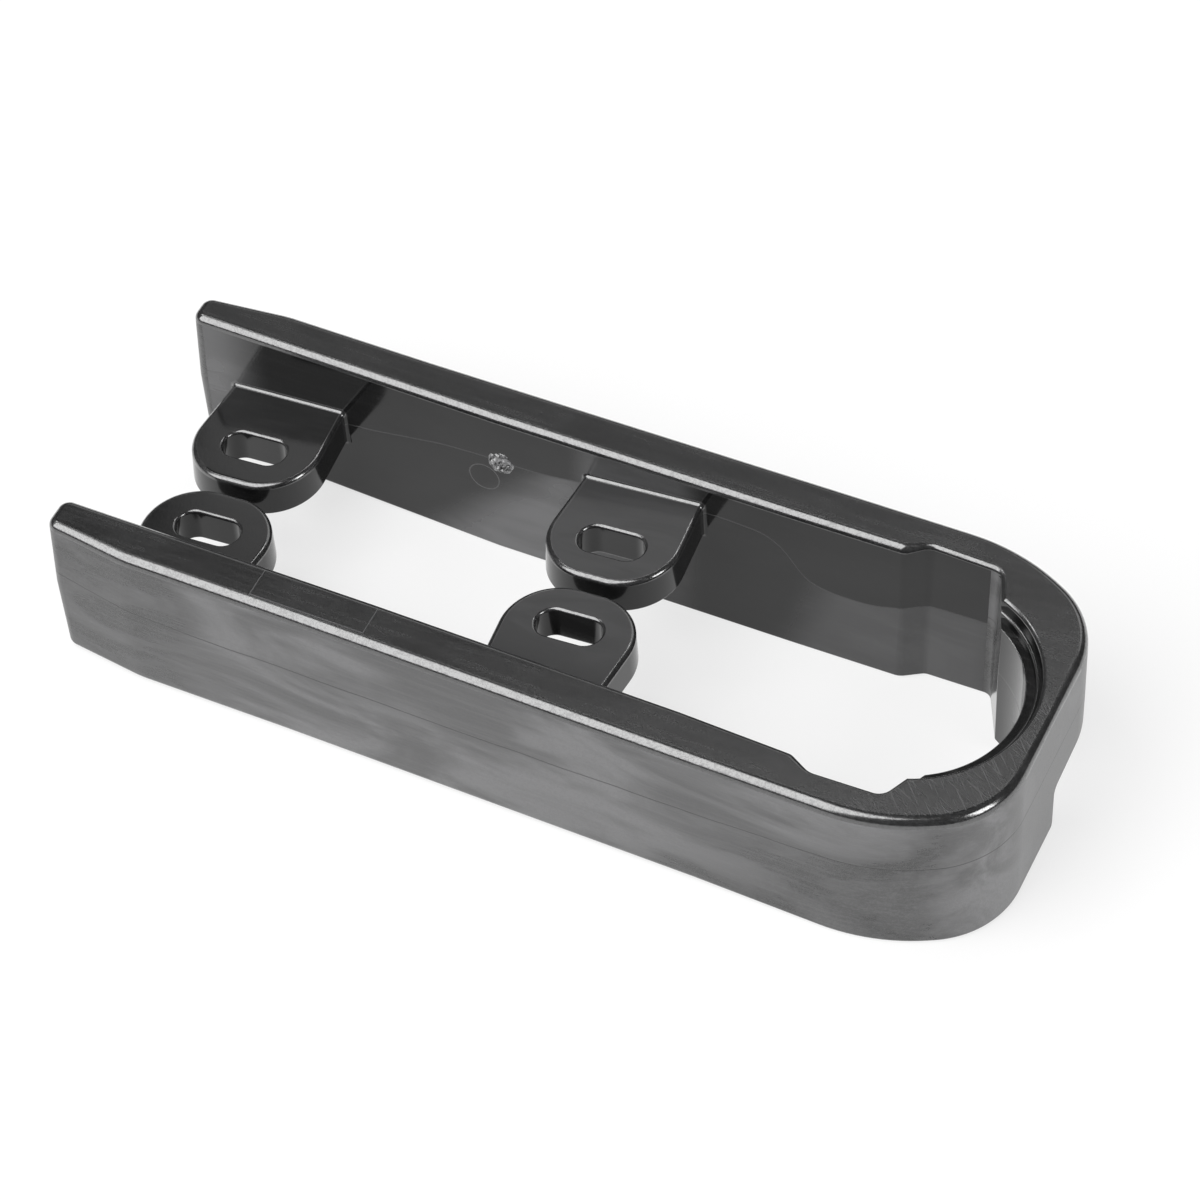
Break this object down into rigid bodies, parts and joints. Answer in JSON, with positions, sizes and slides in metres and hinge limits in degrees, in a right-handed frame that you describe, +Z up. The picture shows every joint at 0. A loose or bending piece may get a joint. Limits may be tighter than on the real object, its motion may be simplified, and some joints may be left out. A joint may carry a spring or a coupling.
{
  "type": "chain slider",
  "caption": "Moulded plastic U that lines the front of a motorbike swingarm, with slotted mounting tabs between its arms and a ring bore in its nose.",
  "frame": {"origin": "middle of the box around the part, at the height of its lower edges", "axes": "+X along the part from the tips of the arms to the nose, +Y across it from the plain arm to the arm on the notched side, +Z up along the walls' height, on the side where the ring bore is stepped"},
  "size_m": [0.201, 0.0752, 0.038],
  "materials": {
    "black_plastic": "black injection-moulded plastic, semi-gloss, with fine flow marks and light scratches"
  },
  "bodies": {
    "root": {"chain_slider": "black_plastic"}
  },
  "joints": []
}
